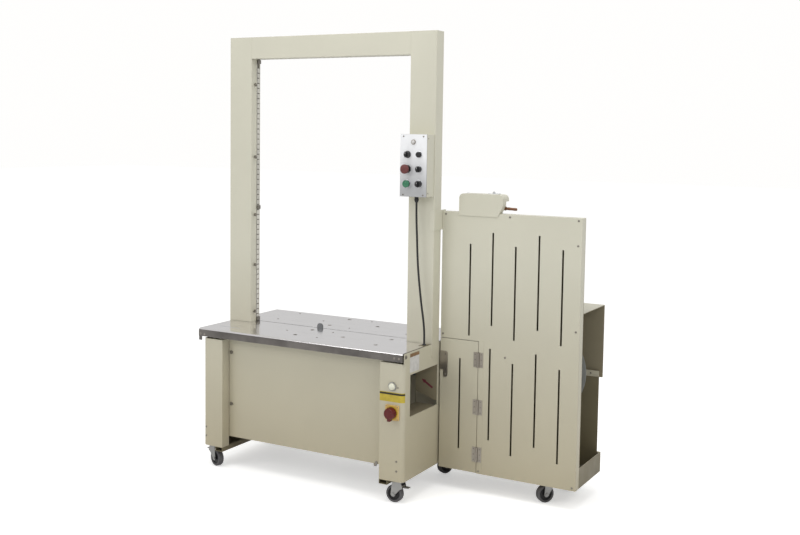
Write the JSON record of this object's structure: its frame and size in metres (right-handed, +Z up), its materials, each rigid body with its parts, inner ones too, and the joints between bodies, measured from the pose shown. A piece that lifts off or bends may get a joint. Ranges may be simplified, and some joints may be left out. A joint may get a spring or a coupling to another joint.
{
  "type": "arch strapping machine",
  "caption": "Arch strapping machine on casters with a split stainless worktop, a control box on its right column and a tall slotted strap dispenser at its side.",
  "frame": {"origin": "on the floor, under the middle of the whole machine, dispenser included", "axes": "+X to the operator's right, +Y from the operator towards the back, +Z up"},
  "size_m": [1.74, 0.676, 2],
  "materials": {
    "cream_paint": "semi-gloss powder coat",
    "stainless": "brushed stainless sheet",
    "zinc_steel": "bright zinc plate",
    "track_steel": "dark steel guide",
    "cast_housing": "machined casting",
    "motor_grey": "grey machine paint",
    "panel_aluminium": "satin anodised plate",
    "black_plastic": "moulded, fine texture",
    "red_plastic": "glossy moulding",
    "green_plastic": "glossy moulding",
    "lamp_white": "translucent diffuser",
    "cable_black": "satin sheath",
    "switch_yellow": "glossy moulding",
    "roller_rubber": "ground rubber",
    "lever_brown": "dipped grip",
    "reel_grey": "grey paint",
    "caster_tyre": "grey elastic tyre on a black core"
  },
  "bodies": {
    "machine": {"base_frame": "cream_paint", "left_side_cover": "cream_paint", "right_side_cover": "cream_paint", "front_panel": "cream_paint", "rear_panel": "cream_paint", "strap_chute": "cream_paint", "left_column": "cream_paint", "right_column": "cream_paint", "top_beam": "cream_paint", "strap_track": "track_steel", "table_hinge_pins": "zinc_steel", "sealing_head": "cast_housing", "drive_motor": "motor_grey", "control_box": "cream_paint", "control_plate": "panel_aluminium", "indicator_lamps": "lamp_white", "cable_glands": "black_plastic", "control_cable": "cable_black", "switch_plate": "switch_yellow", "dispenser_front": "cream_paint", "pool_back_plate": "cream_paint", "dispenser_cabinet": "cream_paint", "fixed_hinge_leaves": "stainless", "link_bracket": "cream_paint", "feed_cover": "cream_paint", "feed_motor": "motor_grey", "reel_shaft": "zinc_steel", "caster_plates": "zinc_steel", "panel_screws": "zinc_steel"},
    "front_table": {"front_table": "stainless"},
    "rear_table": {"rear_table": "stainless"},
    "cam_shaft": {"cam_shaft": "zinc_steel"},
    "mode_selector": {"mode_selector": "black_plastic"},
    "reset_button": {"reset_button": "black_plastic"},
    "estop_button": {"estop_button": "red_plastic"},
    "feed_selector": {"feed_selector": "black_plastic"},
    "start_button": {"start_button": "green_plastic"},
    "tension_dial": {"tension_dial": "black_plastic"},
    "main_switch_knob": {"main_switch_knob": "red_plastic"},
    "door": {"dispenser_door": "cream_paint", "door_hinge_leaves": "stainless", "door_latch_plate": "stainless"},
    "release_lever": {"release_lever": "lever_brown"},
    "feed_roller": {"feed_roller": "roller_rubber"},
    "pressure_roller": {"pressure_roller": "zinc_steel"},
    "strap_reel": {"strap_reel": "reel_grey"},
    "front_left_fork": {"front_left_fork": "zinc_steel"},
    "front_left_wheel": {"front_left_wheel": "caster_tyre"},
    "front_left_brake": {"front_left_brake": "zinc_steel"},
    "front_right_fork": {"front_right_fork": "zinc_steel"},
    "front_right_wheel": {"front_right_wheel": "caster_tyre"},
    "front_right_brake": {"front_right_brake": "zinc_steel"},
    "rear_left_fork": {"rear_left_fork": "zinc_steel"},
    "rear_left_wheel": {"rear_left_wheel": "caster_tyre"},
    "rear_right_fork": {"rear_right_fork": "zinc_steel"},
    "rear_right_wheel": {"rear_right_wheel": "caster_tyre"},
    "dispenser_front_fork": {"dispenser_front_fork": "zinc_steel"},
    "dispenser_front_wheel": {"dispenser_front_wheel": "caster_tyre"},
    "dispenser_rear_fork": {"dispenser_rear_fork": "zinc_steel"},
    "dispenser_rear_wheel": {"dispenser_rear_wheel": "caster_tyre"}
  },
  "joints": [
    {"name": "front_table_hinge", "type": "hinge", "parent": "machine", "child": "front_table", "pos_m": [0, -0.287, 0.633], "axis": [1, 0, 0], "range_deg": [0, 80]},
    {"name": "rear_table_hinge", "type": "hinge", "parent": "machine", "child": "rear_table", "pos_m": [0, 0.304, 0.633], "axis": [-1, 0, 0], "range_deg": [0, 80]},
    {"name": "cam_shaft_spin", "type": "hinge", "parent": "machine", "child": "cam_shaft", "pos_m": [-0.32, 0, 0.5], "axis": [1, 0, 0], "continuous": true},
    {"name": "mode_selector_turn", "type": "hinge", "parent": "machine", "child": "mode_selector", "pos_m": [0.1345, -0.127, 1.472], "axis": [0, 1, 0], "range_deg": [-45, 45]},
    {"name": "feed_selector_turn", "type": "hinge", "parent": "machine", "child": "feed_selector", "pos_m": [0.1895, -0.127, 1.41], "axis": [0, 1, 0], "range_deg": [-45, 45]},
    {"name": "tension_dial_turn", "type": "hinge", "parent": "machine", "child": "tension_dial", "pos_m": [0.1895, -0.127, 1.347], "axis": [0, 1, 0], "range_deg": [-135, 135]},
    {"name": "reset_press", "type": "slide", "parent": "machine", "child": "reset_button", "axis": [0, 1, 0], "range_m": [0, 0.003], "stiffness_N_per_m": 500},
    {"name": "estop_press", "type": "slide", "parent": "machine", "child": "estop_button", "axis": [0, 1, 0], "range_m": [0, 0.006], "stiffness_N_per_m": 800},
    {"name": "start_press", "type": "slide", "parent": "machine", "child": "start_button", "axis": [0, 1, 0], "range_m": [0, 0.004], "stiffness_N_per_m": 500},
    {"name": "main_switch_turn", "type": "hinge", "parent": "machine", "child": "main_switch_knob", "pos_m": [0.174, -0.311, 0.396], "axis": [0, 1, 0], "range_deg": [0, 90]},
    {"name": "door_hinge", "type": "hinge", "parent": "machine", "child": "door", "pos_m": [0.418, 0.013, 0.382], "axis": [0, 0, 1], "range_deg": [0, 110]},
    {"name": "release_lever_pivot", "type": "hinge", "parent": "machine", "child": "release_lever", "pos_m": [0.464, 0.058, 1.28], "axis": [0, -1, 0], "range_deg": [0, 15], "stiffness_Nm_per_rad": 2, "springref_deg": -11.46},
    {"name": "feed_roller_spin", "type": "hinge", "parent": "machine", "child": "feed_roller", "pos_m": [0.415, 0.0395, 1.25], "axis": [0, 1, 0], "continuous": true},
    {"name": "pressure_roller_spin", "type": "hinge", "parent": "release_lever", "child": "pressure_roller", "pos_m": [0.448, 0.0395, 1.25], "axis": [0, 1, 0], "continuous": true},
    {"name": "reel_spin", "type": "hinge", "parent": "machine", "child": "strap_reel", "pos_m": [0.608, 0.195, 0.521], "axis": [0, 1, 0], "continuous": true},
    {"name": "front_left_swivel", "type": "hinge", "parent": "machine", "child": "front_left_fork", "pos_m": [-0.799, -0.257, 0.095], "axis": [0, 0, 1], "continuous": true},
    {"name": "front_left_roll", "type": "hinge", "parent": "front_left_fork", "child": "front_left_wheel", "pos_m": [-0.78293, -0.26254, 0.0375], "axis": [0.3256, 0.9455, 0], "continuous": true},
    {"name": "front_left_brake_press", "type": "hinge", "parent": "front_left_fork", "child": "front_left_brake", "pos_m": [-0.81791, -0.25049, 0.072], "axis": [0.3256, 0.9455, 0], "range_deg": [-12, 0]},
    {"name": "front_right_swivel", "type": "hinge", "parent": "machine", "child": "front_right_fork", "pos_m": [0.185, -0.257, 0.095], "axis": [0, 0, 1], "continuous": true},
    {"name": "front_right_roll", "type": "hinge", "parent": "front_right_fork", "child": "front_right_wheel", "pos_m": [0.168, -0.257, 0.0375], "axis": [0, -1, 0], "continuous": true},
    {"name": "front_right_brake_press", "type": "hinge", "parent": "front_right_fork", "child": "front_right_brake", "pos_m": [0.205, -0.257, 0.072], "axis": [0, -1, 0], "range_deg": [-12, 0]},
    {"name": "rear_left_swivel", "type": "hinge", "parent": "machine", "child": "rear_left_fork", "pos_m": [-0.799, 0.215, 0.095], "axis": [0, 0, 1], "continuous": true},
    {"name": "rear_left_roll", "type": "hinge", "parent": "rear_left_fork", "child": "rear_left_wheel", "pos_m": [-0.78507, 0.22475, 0.0375], "axis": [-0.5736, 0.8192, 0], "continuous": true},
    {"name": "rear_right_swivel", "type": "hinge", "parent": "machine", "child": "rear_right_fork", "pos_m": [0.185, 0.215, 0.095], "axis": [0, 0, 1], "continuous": true},
    {"name": "rear_right_roll", "type": "hinge", "parent": "rear_right_fork", "child": "rear_right_wheel", "pos_m": [0.17702, 0.19999, 0.0375], "axis": [0.8829, -0.4695, 0], "continuous": true},
    {"name": "dispenser_front_swivel", "type": "hinge", "parent": "machine", "child": "dispenser_front_fork", "pos_m": [0.726, 0.088, 0.095], "axis": [0, 0, 1], "continuous": true},
    {"name": "dispenser_front_roll", "type": "hinge", "parent": "dispenser_front_fork", "child": "dispenser_front_wheel", "pos_m": [0.71462, 0.07537, 0.0375], "axis": [0.7431, -0.6691, 0], "continuous": true},
    {"name": "dispenser_rear_swivel", "type": "hinge", "parent": "machine", "child": "dispenser_rear_fork", "pos_m": [0.726, 0.285, 0.095], "axis": [0, 0, 1], "continuous": true},
    {"name": "dispenser_rear_roll", "type": "hinge", "parent": "dispenser_rear_fork", "child": "dispenser_rear_wheel", "pos_m": [0.73993, 0.27525, 0.0375], "axis": [0.5736, 0.8192, 0], "continuous": true}
  ],
  "couplings": [
    {"joint": "pressure_roller_spin", "follows": "feed_roller_spin", "ratio": -1.2857}
  ]
}
